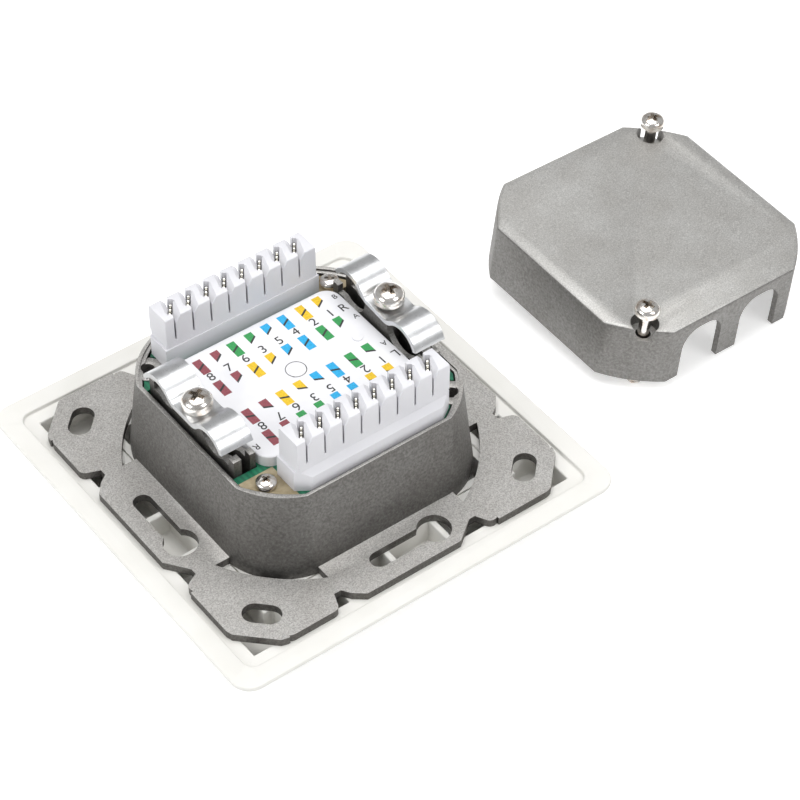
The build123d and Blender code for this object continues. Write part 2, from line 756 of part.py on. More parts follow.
parts = {
    "cover_frame": make_cover_frame(),
    "centre_plate": make_centre_plate(),
    "centre_screw": make_centre_screw(),
    "cast_body": make_body(),
    "circuit_board": make_board(),
    "board_screw_front": board_screw(-1),
    "board_screw_back": board_screw(1),
    "terminal_block_front": block_front,
    "terminal_block_back": block_back,
    "terminal_contacts_front": contact_row(-1),
    "terminal_contacts_back": contact_row(1),
    "label_card": make_card(),
    "cable_clamp_left": make_clamp(-1),
    "cable_clamp_right": make_clamp(1),
    "clamp_screw_left": clamp_screw(-1),
    "clamp_screw_right": clamp_screw(1),
    "socket_housing_front": make_housing(-1),
    "socket_housing_back": make_housing(1),
    "socket_shield_front": make_shield(-1),
    "socket_shield_back": make_shield(1),
    "socket_wires_front": make_wires(-1),
    "socket_wires_back": make_wires(1),
    "lid": make_lid(),
    "lid_screw_front": lid_screw(-1),
    "lid_screw_back": lid_screw(1),
}

os.makedirs("parts", exist_ok=True)
for name, shape in parts.items():
    export_step(shape, f"parts/{name}.step")
    box = shape.bounding_box()
    print(name, round(shape.volume, 2), len(shape.solids()), [round(v, 2) for v in (*box.min, *box.max)])
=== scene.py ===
import bpy
import bmesh
import math
from mathutils import Matrix, Vector


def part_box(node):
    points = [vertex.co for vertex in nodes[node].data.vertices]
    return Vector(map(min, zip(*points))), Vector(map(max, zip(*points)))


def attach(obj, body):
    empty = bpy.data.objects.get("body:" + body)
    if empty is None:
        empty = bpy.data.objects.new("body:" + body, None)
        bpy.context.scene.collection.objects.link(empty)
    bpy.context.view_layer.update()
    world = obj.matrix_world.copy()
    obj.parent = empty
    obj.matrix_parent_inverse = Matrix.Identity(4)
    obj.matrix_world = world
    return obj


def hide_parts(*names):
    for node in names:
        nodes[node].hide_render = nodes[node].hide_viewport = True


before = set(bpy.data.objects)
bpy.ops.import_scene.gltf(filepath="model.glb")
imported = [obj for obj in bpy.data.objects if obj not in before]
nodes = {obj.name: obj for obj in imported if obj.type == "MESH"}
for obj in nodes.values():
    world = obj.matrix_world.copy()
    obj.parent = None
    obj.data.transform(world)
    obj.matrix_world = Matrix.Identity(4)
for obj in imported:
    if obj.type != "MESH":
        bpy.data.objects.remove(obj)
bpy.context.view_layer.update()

MM = 0.001
scene = bpy.context.scene
scene.view_settings.view_transform = "Standard"

# Levels read from the frame, in millimetres
z_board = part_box("circuit_board")[1].z / MM
pip_h = 0.25
z_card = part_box("label_card")[1].z / MM - pip_h

# Points nearer than this are one point, and faces that turn less are one face
weld_gap = 2e-6
flat_angle = math.radians(0.6)

# The lid leans on its two screws and on one corner
lid_turn = math.radians(1.5)
lid_lean = math.radians(4.5)
lid_x, lid_y = 81.1, 3.1
lid_half = 20.3
lid_lift = lid_half * math.sqrt(2) * math.sin(lid_lean)
lid_place = Matrix.Translation((lid_x, lid_y, lid_lift)) @ Matrix.Rotation(lid_turn, 4, "Z")
lid_place = lid_place @ Matrix.Rotation(lid_lean, 4, Vector((1, 1, 0)))


# Materials

class Look:
    """A node material built step by step."""

    def __init__(self, name, color, metallic=0.0, rough=0.5):
        self.mat = bpy.data.materials.new(name)
        self.mat.use_nodes = True
        self.tree = self.mat.node_tree
        self.bsdf = self.tree.nodes["Principled BSDF"]
        self.bsdf.inputs["Base Color"].default_value = (*color, 1)
        self.bsdf.inputs["Metallic"].default_value = metallic
        self.bsdf.inputs["Roughness"].default_value = rough
        coords = self.tree.nodes.new("ShaderNodeTexCoord")
        self.place = coords.outputs["Object"]
        self.bumps = []

    def link(self, a, b):
        self.tree.links.new(a, b)

    def noise(self, size_mm, detail=3.0, stretch=(1, 1, 1)):
        mapping = self.tree.nodes.new("ShaderNodeMapping")
        mapping.inputs["Scale"].default_value = stretch
        self.link(self.place, mapping.inputs["Vector"])
        n = self.tree.nodes.new("ShaderNodeTexNoise")
        n.inputs["Scale"].default_value = 1.0 / (size_mm * MM)
        n.inputs["Detail"].default_value = detail
        self.link(mapping.outputs["Vector"], n.inputs["Vector"])
        return n.outputs["Fac"]

    def cells(self, size_mm):
        n = self.tree.nodes.new("ShaderNodeTexVoronoi")
        n.inputs["Scale"].default_value = 1.0 / (size_mm * MM)
        self.link(self.place, n.inputs["Vector"])
        return n.outputs["Distance"]

    def ramp(self, source, stops):
        r = self.tree.nodes.new("ShaderNodeValToRGB")
        elements = r.color_ramp.elements
        while len(elements) < len(stops):
            elements.new(0.5)
        for e, (pos, color) in zip(elements, stops):
            e.position = pos
            e.color = (*color, 1)
        self.link(source, r.inputs["Fac"])
        return r.outputs["Color"]

    def span(self, source, lo, hi, from_lo=0.3, from_hi=0.7):
        m = self.tree.nodes.new("ShaderNodeMapRange")
        m.inputs["From Min"].default_value = from_lo
        m.inputs["From Max"].default_value = from_hi
        m.inputs["To Min"].default_value = lo
        m.inputs["To Max"].default_value = hi
        self.link(source, m.inputs["Value"])
        return m.outputs["Result"]

    def math(self, kind, a, b=0.0):
        m = self.tree.nodes.new("ShaderNodeMath")
        m.operation = kind
        for slot, v in zip(m.inputs, (a, b)):
            if isinstance(v, (int, float)):
                slot.default_value = v
            else:
                self.link(v, slot)
        return m.outputs["Value"]

    def mix(self, fac, a, b, kind="MIX"):
        """Two linked colours mixed by a number or a linked factor."""
        m = self.tree.nodes.new("ShaderNodeMix")
        m.data_type = "RGBA"
        m.blend_type = kind
        ins = {s.name + s.type: s for s in m.inputs}
        fac_in = ins["FactorVALUE"]
        if isinstance(fac, (int, float)):
            fac_in.default_value = fac
        else:
            self.link(fac, fac_in)
        self.link(a, ins["ARGBA"])
        self.link(b, ins["BRGBA"])
        return [o for o in m.outputs if o.type == "RGBA"][0]

    def split(self, vector):
        s = self.tree.nodes.new("ShaderNodeSeparateXYZ")
        self.link(vector, s.inputs["Vector"])
        return s.outputs

    def normal(self):
        g = self.tree.nodes.new("ShaderNodeNewGeometry")
        return g.outputs["True Normal"]

    def color(self, source):
        self.link(source, self.bsdf.inputs["Base Color"])

    def rough(self, source):
        self.link(source, self.bsdf.inputs["Roughness"])

    def bump(self, source, depth_mm, strength):
        """A bump on top of those that the look has already."""
        b = self.tree.nodes.new("ShaderNodeBump")
        b.inputs["Strength"].default_value = strength
        b.inputs["Distance"].default_value = depth_mm * MM
        self.link(source, b.inputs["Height"])
        if self.bumps:
            self.link(self.bumps[-1], b.inputs["Normal"])
        self.bumps.append(b.outputs["Normal"])
        self.link(b.outputs["Normal"], self.bsdf.inputs["Normal"])


def white_plastic(name, color, shade):
    """Satin moulded plastic with faint clouds and a fine texture."""
    look = Look(name, color, rough=0.36)
    look.bsdf.inputs["Specular IOR Level"].default_value = 0.45
    cloud = look.noise(9.0, 2)
    look.color(look.ramp(cloud, [(0.35, shade), (0.65, color)]))
    fine = look.noise(0.22, 2)
    look.rough(look.span(fine, 0.33, 0.46))
    look.bump(fine, 0.012, 0.5)
    look.bump(look.noise(5.0, 1), 0.05, 0.25)
    return look.mat


def cast_zinc(name, lit_top_dark, lit_top_light, shaded_side_dark, shaded_side_light):
    """Grainy casting with painted glints, and painted shade that makes its upright faces darker than its
    tops.
    """
    look = Look(name, lit_top_light, metallic=0.75, rough=0.5)
    grain = look.noise(0.24, 4)
    painted_glint_cells = look.cells(0.3)
    cloud = look.noise(7.0, 3)
    # Painted shade: by the normal alone, faces that stand upright get the shaded side colour and faces that
    # look up get the lit top colour.
    facing = look.math("ABSOLUTE", look.split(look.normal())[2])
    flat = look.span(facing, 0.0, 1.0, 0.45, 0.8)
    top = look.ramp(grain, [(0.36, lit_top_dark), (0.62, lit_top_light)])
    side = look.ramp(look.noise(0.5, 4), [(0.3, shaded_side_dark), (0.7, shaded_side_light)])
    base = look.mix(flat, side, top)
    tint = look.ramp(cloud, [(0.3, (0.88, 0.87, 0.86)), (0.7, (1.0, 1.0, 1.0))])
    base = look.mix(1.0, base, tint, "MULTIPLY")
    # Painted glints: the colour is lifted at the centres of small cells and lowered between them.
    painted_glint = look.ramp(painted_glint_cells, [(0.0, (1.16, 1.16, 1.16)), (0.55, (0.88, 0.88, 0.88))])
    base = look.mix(0.7, base, painted_glint, "MULTIPLY")
    look.color(base)
    look.rough(look.span(grain, 0.38, 0.62))
    look.bump(grain, 0.05, 0.55)
    look.bump(look.noise(0.14, 2), 0.02, 0.5)
    return look.mat


def polished(name, color, rough_lo, rough_hi, wave=0.02):
    """Bright sheet metal with a slight drift in tone and gloss."""
    look = Look(name, color, metallic=1.0, rough=rough_lo)
    drift = look.noise(2.2, 3)
    dim = tuple(c * 0.86 for c in color)
    look.color(look.ramp(drift, [(0.35, dim), (0.62, color)]))
    look.rough(look.span(look.noise(0.35, 4, (1, 3, 1)), rough_lo, rough_hi))
    look.bump(look.noise(1.7, 2), wave, 0.35)
    look.bump(look.noise(0.12, 2), 0.006, 0.3)
    return look.mat


def nickel(name):
    """Plated screw metal with light brown stains."""
    look = Look(name, (0.74, 0.71, 0.67), metallic=1.0, rough=0.22)
    stain = look.noise(1.3, 2)
    look.color(look.ramp(stain, [
        (0.3, (0.58, 0.5, 0.43)),
        (0.5, (0.78, 0.75, 0.71)),
        (0.7, (0.86, 0.84, 0.81)),
    ]))
    look.rough(look.span(look.noise(0.3, 3), 0.16, 0.26))
    look.bump(look.noise(0.9, 1), 0.01, 0.25)
    return look.mat


def board_green():
    """Green lacquered board with bare corners."""
    look = Look("board_green", (0.012, 0.19, 0.115), rough=0.3)
    look.bsdf.inputs["Coat Weight"].default_value = 0.25
    x, y, z = look.split(look.place)[:3]
    cloud = look.noise(4.0, 3)
    green = look.ramp(cloud, [(0.35, (0.006, 0.085, 0.05)), (0.65, (0.012, 0.16, 0.085))])
    # Conductor strips under the lacquer
    wave = look.tree.nodes.new("ShaderNodeTexWave")
    wave.inputs["Scale"].default_value = 330.0
    wave.inputs["Distortion"].default_value = 1.4
    look.link(look.place, wave.inputs["Vector"])
    track = look.ramp(wave.outputs["Fac"], [(0.42, (0.9, 0.9, 0.9)), (0.5, (1.25, 1.3, 1.2))])
    green = look.mix(1.0, green, track, "MULTIPLY")
    # Bare copper in two opposite corners, under the board screws
    bare_x, bare_y = 15.4 * MM, 13.9 * MM
    ax = look.math("GREATER_THAN", look.math("MULTIPLY", x, look.math("SIGN", y)), bare_x)
    ay = look.math("GREATER_THAN", look.math("ABSOLUTE", y), bare_y)
    bare = look.math("MULTIPLY", ax, ay)
    tan = look.ramp(look.noise(1.5, 4), [(0.3, (0.26, 0.21, 0.12)), (0.7, (0.42, 0.35, 0.23))])
    look.color(look.mix(bare, green, tan))
    look.bump(wave.outputs["Fac"], 0.01, 0.2)
    return look.mat


def card_white():
    """Smooth printed card."""
    look = Look("card_white", (0.83, 0.83, 0.85), rough=0.42)
    fine = look.noise(0.12, 2)
    look.color(look.ramp(look.noise(6.0, 2), [(0.35, (0.80, 0.80, 0.83)), (0.65, (0.86, 0.86, 0.875))]))
    look.rough(look.span(fine, 0.34, 0.5))
    look.bump(fine, 0.006, 0.35)
    return look.mat


def ink(name, color):
    look = Look("ink_" + name, color, rough=0.5)
    dark = tuple(c * 0.82 for c in color)
    look.color(look.ramp(look.noise(0.35, 3), [(0.38, dark), (0.6, color)]))
    return look.mat


white = white_plastic("white_plastic", (0.84, 0.83, 0.795), (0.81, 0.80, 0.76))
block_white = white_plastic("terminal_plastic", (0.77, 0.77, 0.80), (0.735, 0.735, 0.77))
# In each casting colour set, the two top colours are painted light and the two side colours are painted
# shade.
zinc = cast_zinc("cast_zinc", (0.38, 0.37, 0.355), (0.62, 0.61, 0.59),
                 (0.13, 0.125, 0.118), (0.215, 0.21, 0.2))
lid_zinc = cast_zinc("lid_zinc", (0.48, 0.475, 0.46), (0.68, 0.675, 0.655),
                     (0.20, 0.195, 0.185), (0.31, 0.305, 0.295))
clamp_metal = polished("clamp_steel", (0.70, 0.71, 0.72), 0.27, 0.38, 0.01)
screw_metal = nickel("screw_nickel")
contact_metal = polished("contact_metal", (0.74, 0.72, 0.66), 0.2, 0.34, 0.01)
shield_metal = polished("shield_sheet", (0.66, 0.67, 0.68), 0.26, 0.42)
gold = polished("gold_wire", (0.83, 0.64, 0.28), 0.16, 0.28, 0.005)
green = board_green()
card = card_white()
socket_black = white_plastic("socket_black", (0.03, 0.03, 0.032), (0.022, 0.022, 0.024))


# Mesh helpers

def add(name, mesh, mat, *replaced, slot):
    """A new piece on the one body, standing for the nodes it replaces."""
    obj = bpy.data.objects.new(name, mesh)
    scene.collection.objects.link(obj)
    mesh.materials.clear()
    mesh.materials.append(mat)
    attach(obj, "root")
    if replaced:
        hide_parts(*replaced)
    return obj


def bevel(obj, width_mm, segments, angle):
    m = obj.modifiers.new("bevel", "BEVEL")
    m.width = width_mm * MM
    m.segments = segments
    m.limit_method = "ANGLE"
    m.angle_limit = math.radians(angle)
    m.harden_normals = True


def smooth(mesh, angle):
    for p in mesh.polygons:
        p.use_smooth = True
    mesh.set_sharp_from_angle(angle=math.radians(angle))


def to_mesh(bm, name):
    mesh = bpy.data.meshes.new(name)
    bm.to_mesh(mesh)
    bm.free()
    return mesh


def applied(obj):
    """The object's mesh with its modifiers worked in."""
    dg = bpy.context.evaluated_depsgraph_get()
    return bpy.data.meshes.new_from_object(obj.evaluated_get(dg))


def drop(obj):
    bpy.data.objects.remove(obj, do_unlink=True)


def carved(mesh, joined, cut, crossing=False):
    """The mesh with one bmesh joined to it and another cut out of it."""
    for kind, bm in (("UNION", joined), ("DIFFERENCE", cut)):
        if bm is None:
            continue
        bmesh.ops.recalc_face_normals(bm, faces=bm.faces)
        base = bpy.data.objects.new("carve_base", mesh)
        tool = bpy.data.objects.new("carve_tool", to_mesh(bm, "carve_tool"))
        scene.collection.objects.link(base)
        scene.collection.objects.link(tool)
        bpy.context.view_layer.update()
        m = base.modifiers.new("carve", "BOOLEAN")
        m.operation = kind
        m.object = tool
        m.solver = "EXACT"
        m.use_self = crossing
        mesh = applied(base)
        drop(base)
        drop(tool)
    return mesh


def weld(bm):
    bmesh.ops.remove_doubles(bm, verts=bm.verts, dist=weld_gap)


def flatten(bm):
    """Merges the small faces of a flat or nearly flat area."""
    weld(bm)
    bmesh.ops.dissolve_limit(bm, angle_limit=flat_angle, verts=bm.verts, edges=bm.edges)


def cut_up_faces(bm):
    """Many-sided faces are cut up, because easing their edges would fold them."""
    bmesh.ops.triangulate(bm, faces=[f for f in bm.faces if len(f.verts) > 4])


def dressed(node, mat, slot, width_mm, segments, angle=32, joined=None, cut=None, cut_up=False):
    """The node's own shape with its edges eased."""
    mesh = nodes[node].data.copy()
    bm = bmesh.new()
    bm.from_mesh(mesh)
    flatten(bm)
    if joined or cut:
        bmesh.ops.triangulate(bm, faces=bm.faces)
        bm.to_mesh(mesh)
        bm.free()
        mesh = carved(mesh, joined, cut)
        bm = bmesh.new()
        bm.from_mesh(mesh)
        flatten(bm)
    if cut_up:
        cut_up_faces(bm)
    bm.to_mesh(mesh)
    bm.free()
    smooth(mesh, angle)
    obj = add(node + "_look", mesh, mat, node, slot=slot)
    bevel(obj, width_mm, segments, angle)


def paint(node, mat):
    """Gives a node that stays as it is its material."""
    obj = nodes[node]
    for s in obj.material_slots:
        s.material = mat
    if not obj.material_slots:
        obj.data.materials.append(mat)


def close_sides(bm, low, high):
    """Two caps and the sides between them, from two rings of as many vertices."""
    bm.faces.new(list(reversed(low)))
    bm.faces.new(high)
    n = len(low)
    for k in range(n):
        j = (k + 1) % n
        bm.faces.new((low[k], low[j], high[j], high[k]))


def prism(outline, z0, z1, bm=None):
    """Upright prism on an outline, all in millimetres."""
    bm = bm or bmesh.new()
    low = [bm.verts.new((x * MM, y * MM, z0 * MM)) for x, y in outline]
    high = [bm.verts.new((x * MM, y * MM, z1 * MM)) for x, y in outline]
    close_sides(bm, low, high)
    return bm


def turned(outline, angle, x0=0.0):
    """The outline turned about the origin and then moved along X."""
    c, s = math.cos(angle), math.sin(angle)
    return [(x0 + u * c - v * s, u * s + v * c) for u, v in outline]


def wedge(section, u0, u1, angle, x, bm):
    """Prism of a section in (across, height), run along a turned line through x."""
    ends = []
    for u in (u0, u1):
        foot = turned([(u, v) for v, z in section], angle, x)
        ends.append([bm.verts.new((p[0] * MM, p[1] * MM, z * MM)) for p, (v, z) in zip(foot, section)])
    close_sides(bm, *ends)


def lathe(profile, steps=48):
    """Closed mesh turned round Z from (radius, height) pairs in millimetres, top to bottom."""
    bm = bmesh.new()
    rings = []
    for r, z in profile:
        if r < 1e-6:
            rings.append([bm.verts.new((0, 0, z * MM))])
            continue
        angles = [2 * math.pi * k / steps for k in range(steps)]
        rings.append([bm.verts.new((r * MM * math.cos(a), r * MM * math.sin(a), z * MM)) for a in angles])
    for a, b in zip(rings, rings[1:]):
        for k in range(steps):
            j = (k + 1) % steps
            if len(a) == 1:
                bm.faces.new((a[0], b[k], b[j]))
            elif len(b) == 1:
                bm.faces.new((a[k], b[0], a[j]))
            else:
                bm.faces.new((a[k], b[k], b[j], a[j]))
    bmesh.ops.recalc_face_normals(bm, faces=bm.faces)
    return bm


# Screws

def cross_cutter(d, depth, lift):
    """Cross recess with tapered arms and a narrower floor, its top level at lift."""
    above = 0.6
    arm, floor_arm, half_w, floor_w = d / 2, d * 0.2, d * 0.13, d * 0.09
    faces = ((0, 1, 2, 3), (7, 6, 5, 4), (0, 4, 5, 1), (1, 5, 6, 2), (2, 6, 7, 3), (3, 7, 4, 0))
    bm = bmesh.new()
    for turn in (0, 90):
        rot = Matrix.Rotation(math.radians(turn), 3, "Z")
        top = [(x, y, lift + above) for x, y in box_outline(arm, half_w)]
        low = [(x, y, lift - depth) for x, y in box_outline(floor_arm, floor_w)]
        vs = [bm.verts.new(rot @ (Vector(p) * MM)) for p in top + low]
        for f in faces:
            bm.faces.new([vs[i] for i in f])
    return bm


def box_outline(half_u, half_v):
    return [(-half_u, -half_v), (half_u, -half_v), (half_u, half_v), (-half_u, half_v)]


def thread(bm, r, z0, z1, pitch=0.5, depth=0.14, steps=28):
    """A ridge that winds round a rod of radius r and fades out at both ends."""
    sunk, half = -0.05, 0.2
    count = int((z1 - z0) / pitch * steps)
    last = None
    for k in range(count + 1):
        a = 2 * math.pi * k / steps
        z = z0 + pitch * k / steps
        fade = min(1.0, k / steps, (count - k) / steps)
        ring = []
        for dr, dz in ((sunk, -half), (depth * fade, 0.0), (sunk, half)):
            out = (r + dr) * MM
            ring.append(bm.verts.new((out * math.cos(a), out * math.sin(a), (z + dz) * MM)))
        if last:
            for i in range(3):
                j = (i + 1) % 3
                bm.faces.new((last[i], last[j], ring[j], ring[i]))
        else:
            bm.faces.new(ring)
        last = ring
    bm.faces.new(list(reversed(last)))


def make_screw(node, place, head_d, head_h, neck_d, neck_l, thread_d, thread_l, turn):
    """Pan head on z = 0, a neck below it and a threaded end."""
    r = head_d / 2
    edge = head_h * 0.4
    crown_power = 0.78
    steps = 10
    profile = [(0, head_h)]
    for k in range(1, steps + 1):
        a = math.pi / 2 * (1 - k / steps)
        out = r * math.cos(a) ** crown_power if k < steps else r
        profile.append((out, edge + (head_h - edge) * math.sin(a)))
    core = thread_d / 2 - 0.12
    tip = thread_d / 2 - 0.4
    end = -neck_l - thread_l
    profile += [(r, edge * 0.5), (r - 0.06, 0.16), (r - 0.25, 0.02), (neck_d / 2, 0.0), (neck_d / 2, -neck_l)]
    profile += [(core, -neck_l - 0.2), (core, end + 0.4), (tip, end), (0, end)]
    recess = cross_cutter(r * 1.24, head_h * 0.72, head_h)
    mesh = carved(to_mesh(lathe(profile), node), None, recess, crossing=True)
    bm = bmesh.new()
    bm.from_mesh(mesh)
    thread(bm, core, end + 0.5, -neck_l - 0.3)
    lift = Matrix.Translation(place.to_translation() * MM) @ place.to_quaternion().to_matrix().to_4x4()
    bm.transform(lift @ Matrix.Rotation(math.radians(turn), 4, "Z"))
    bm.to_mesh(mesh)
    bm.free()
    smooth(mesh, 40)
    add(node + "_look", mesh, screw_metal, node, slot="screw_nickel")


def screw_in_node(node, head_d, head_h, neck_d, neck_l, thread_d, thread_l, turn):
    """An upright screw whose head ends at the top of its node."""
    lo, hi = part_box(node)
    place = Matrix.Translation(((lo.x + hi.x) / 2 / MM, (lo.y + hi.y) / 2 / MM, hi.z / MM - head_h))
    make_screw(node, place, head_d, head_h, neck_d, neck_l, thread_d, thread_l, turn)


# The casting, with the tips of its four ears completed

ear_half = 34.9
ear_cut = 7.4
ear_notch = 17.0
ear_chamfer_start = ear_half - ear_cut
carrier_lo, carrier_hi = 7.2, 8.8
slot_at, slot_half, slot_r = 28.0, 1.35, 2.1
slot_turn = -45
soft_l, soft_d = 1.2, 0.35
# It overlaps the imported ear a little, and its chamfer has softened ends
ear_tip = [
    (ear_chamfer_start - 0.4, ear_half - 1.2),
    (ear_chamfer_start - 0.4, ear_half),
    (ear_chamfer_start, ear_half),
    (ear_chamfer_start + soft_l, ear_half - soft_d),
    (ear_half - soft_d, ear_chamfer_start + soft_l),
    (ear_half, ear_chamfer_start),
    (ear_half, ear_notch),
    (ear_half - 0.8, ear_notch),
]
corner_slot = []
for end in (1, -1):
    along = math.radians(slot_turn)
    first = slot_turn - 90 if end > 0 else slot_turn + 90
    for j in range(13):
        b = math.radians(first + 15 * j)
        corner_slot.append((slot_at + end * slot_half * math.cos(along) + slot_r * math.cos(b),
                            slot_at + end * slot_half * math.sin(along) + slot_r * math.sin(b)))
ear_fill = bmesh.new()
ear_holes = bmesh.new()
for k in range(4):
    quarter = math.radians(90 * k)
    prism(turned(ear_tip, quarter), carrier_lo, carrier_hi, ear_fill)
    prism(turned(corner_slot, quarter), carrier_lo - 1, carrier_hi + 1, ear_holes)

# Nodes that keep their shape

dressed("cover_frame", white, "white_plastic", 0.3, 3, cut_up=True)
dressed("centre_plate", white, "white_plastic", 0.12, 2)
dressed("cast_body", zinc, "cast_zinc", 0.16, 2, 38, joined=ear_fill, cut=ear_holes, cut_up=True)
dressed("lid", lid_zinc, "cast_zinc", 0.35, 3, 50)
dressed("cable_clamp_left", clamp_metal, "clamp_steel", 0.12, 2, 50)
dressed("cable_clamp_right", clamp_metal, "clamp_steel", 0.12, 2, 50)
dressed("label_card", card, "card_white", 0.14, 2)
paint("circuit_board", green)
for side in ("front", "back"):
    paint("socket_housing_" + side, socket_black)
    paint("socket_shield_" + side, shield_metal)
    paint("socket_wires_" + side, gold)
paint("centre_screw", screw_metal)

# Head width and height, neck width and length, thread width and length
clamp_screw = (5.6, 2.7, 3.0, 1.0, 3.0, 8.0)
board_screw = (3.7, 1.5, 2.2, 0.5, 2.2, 5.5)
screw_in_node("clamp_screw_left", *clamp_screw, turn=24)
screw_in_node("clamp_screw_right", *clamp_screw, turn=-8)
screw_in_node("board_screw_front", *board_screw, turn=12)
screw_in_node("board_screw_back", *board_screw, turn=50)

lid_screw_l = 17.3
lid_neck_l = 8.3
lid_tip_r = 1.1
lid_screw_x, lid_screw_y = 18.0, 19.3
lid_screw = (4.8, 2.2, 2.2, lid_neck_l, 3.0, lid_screw_l - lid_neck_l)
for side, s, turn in (("front", -1, 15), ("back", 1, 70)):
    # The screw's foot stands on the floor, found along its own axis
    x, y = s * lid_screw_x, s * lid_screw_y
    start = lid_place @ Vector((x, y, 0))
    reach = (lid_tip_r * math.sin(lid_lean) - start.z) / math.cos(lid_lean)
    place = lid_place @ Matrix.Translation((x, y, reach + lid_screw_l))
    make_screw("lid_screw_" + side, place, *lid_screw, turn)


# Terminal blocks: nine posts, with a wire slit and a contact turned against it between each pair

slit_pitch = 3.73
slit_half_l, slit_half_w = 4.0, 0.16
slit_floor, pocket_floor = 1.4, 0.2
slit_angle = math.radians(73)
contact_angle = math.radians(54)
pocket_half_l, pocket_half_w = 1.9, 0.42
slope_w, slope_deep, slope_stop = 1.3, 1.75, 1.4
post_half = 2.65
post_top = 11.1
post_edge, post_round = 0.5, 0.15
bar_half = 15.8
bar_foot = 4.0
ledge_end = bar_half + 0.4
ledge_top, ledge_edge = 4.4, 3.2
ledge_out, ledge_in = 3.75, 2.9
ledge_cut_x, ledge_cut_y = 2.5, 1.7
block_x, block_y = 0.5, 18.65
# How far a cutting form reaches past the plastic, over its edge and along the slit
over = 0.1
far = 4.5


def make_block(node, place):
    sill = [(-ledge_out, 0), (ledge_in, 0), (ledge_in, ledge_top),
            (-post_half, ledge_top), (-ledge_out, ledge_edge)]
    ledge = bmesh.new()
    wedge(sill, -ledge_end, ledge_end, 0.0, 0.0, ledge)
    bmesh.ops.recalc_face_normals(ledge, faces=ledge.faces)
    d, top, e, f = post_half, post_top, post_edge, post_round
    section = [(-d, bar_foot), (d, bar_foot), (d, top - e), (d - f, top - f), (d - e, top),
               (-d + e, top), (-d + f, top - f), (-d, top - e)]
    bar = bmesh.new()
    wedge(section, -bar_half, bar_half, 0.0, 0.0, bar)
    cut = bmesh.new()
    for i in range(8):
        x = (i - 3.5) * slit_pitch
        slit = turned(box_outline(slit_half_l, slit_half_w), slit_angle, x)
        prism(slit, ledge_top + slit_floor, post_top + 1, cut)
        pocket = turned(box_outline(pocket_half_l, pocket_half_w), contact_angle, x)
        prism(pocket, ledge_top + pocket_floor, post_top + 1, cut)
        # A slope on the right of the slit at the near end, and on its left at the far end
        for s, u0, u1 in ((-1, -far, slope_stop), (1, -slope_stop, far)):
            slope = [(s * slope_w, top + over), (-s * over, top - slope_deep), (-s * over, top + over)]
            wedge(slope, u0, u1, slit_angle, x, cut)
    for s in (-1, 1):
        # The ledge's cut corners
        corner = [(ledge_end + over, -ledge_out - 0.15), (ledge_end - ledge_cut_x, -ledge_out - 0.15),
                  (ledge_end - ledge_cut_x, -ledge_out), (ledge_end, -ledge_out + ledge_cut_y),
                  (ledge_end + over, -ledge_out + ledge_cut_y)]
        prism([(s * x, y) for x, y in corner], -1, ledge_top + 1, cut)
    mesh = carved(to_mesh(ledge, node), bar, cut, crossing=True)
    mesh.transform(place)
    bm = bmesh.new()
    bm.from_mesh(mesh)
    weld(bm)
    cut_up_faces(bm)
    bm.to_mesh(mesh)
    bm.free()
    smooth(mesh, 30)
    obj = add(node + "_look", mesh, block_white, node, slot="terminal_plastic")
    bevel(obj, 0.2, 3, 30)


blade_half = 1.65
blade_shoulder = post_top - 2.05
blade_half_t = 0.2
tooth_top = post_top - 0.55
tooth_pitch = 1.1
tooth = [(0.42, -1.5), (0.4, -0.4), (0.24, -0.1), (0.0, 0.0), (-0.24, -0.1), (-0.4, -0.4), (-0.42, -1.5)]


def make_contacts(node, place):
    """Eight upright blades, each with three rounded teeth."""
    outline = [(-blade_half, 0.0), (blade_half, 0.0), (blade_half, blade_shoulder)]
    for k in (1, 0, -1):
        outline += [(k * tooth_pitch + u, tooth_top + z) for u, z in tooth]
    outline.append((-blade_half, blade_shoulder))
    bm = bmesh.new()
    for i in range(8):
        x = (i - 3.5) * slit_pitch
        sides = []
        for v in (-blade_half_t, blade_half_t):
            foot = turned([(u, v) for u, z in outline], contact_angle, x)
            sides.append([bm.verts.new((p[0] * MM, p[1] * MM, z * MM)) for p, (u, z) in zip(foot, outline)])
        close_sides(bm, *sides)
    bmesh.ops.recalc_face_normals(bm, faces=bm.faces)
    bm.transform(place)
    mesh = to_mesh(bm, node)
    smooth(mesh, 30)
    obj = add(node + "_look", mesh, contact_metal, node, slot="contact_metal")
    bevel(obj, 0.1, 2, 20)


for side, s in (("front", -1), ("back", 1)):
    place = Matrix.Translation((-s * block_x * MM, s * block_y * MM, z_board * MM))
    if s > 0:
        place = place @ Matrix.Rotation(math.pi, 4, "Z")
    make_block("terminal_block_" + side, place)
    make_contacts("terminal_contacts_" + side, place)


# Print on the card

z_print = z_card + 0.015
print_sunk = 0.05
bar_lift = 0.008
inks = {
    "brown": ink("brown", (0.30, 0.07, 0.09)),
    "green": ink("green", (0.035, 0.33, 0.09)),
    "blue": ink("blue", (0.02, 0.42, 0.78)),
    "yellow": ink("yellow", (0.85, 0.56, 0.02)),
    "black": ink("black", (0.035, 0.035, 0.035)),
}
flats = {name: bmesh.new() for name in inks}


def flat(color, outline, lift=0.0):
    prism(outline, z_card - print_sunk, z_print + lift, flats[color])


def slant(l, r, low, high, below):
    """Dark bar from one height at the left edge to another at the right edge."""
    above = 0.22
    flat("black", [(l, low - below), (r, high - below), (r, high + above), (l, low + above)], bar_lift)


order = "87635421"
columns = [-12.81, -9.12, -5.58, -1.85, 1.69, 5.27, 9.19, 12.88]
row_slope = 0.024
outer_colors = ["brown", "brown", "green", "green", "blue", "blue", "yellow", "yellow"]
inner_colors = ["brown", "brown", "yellow", "yellow", "blue", "blue", "green", "green"]
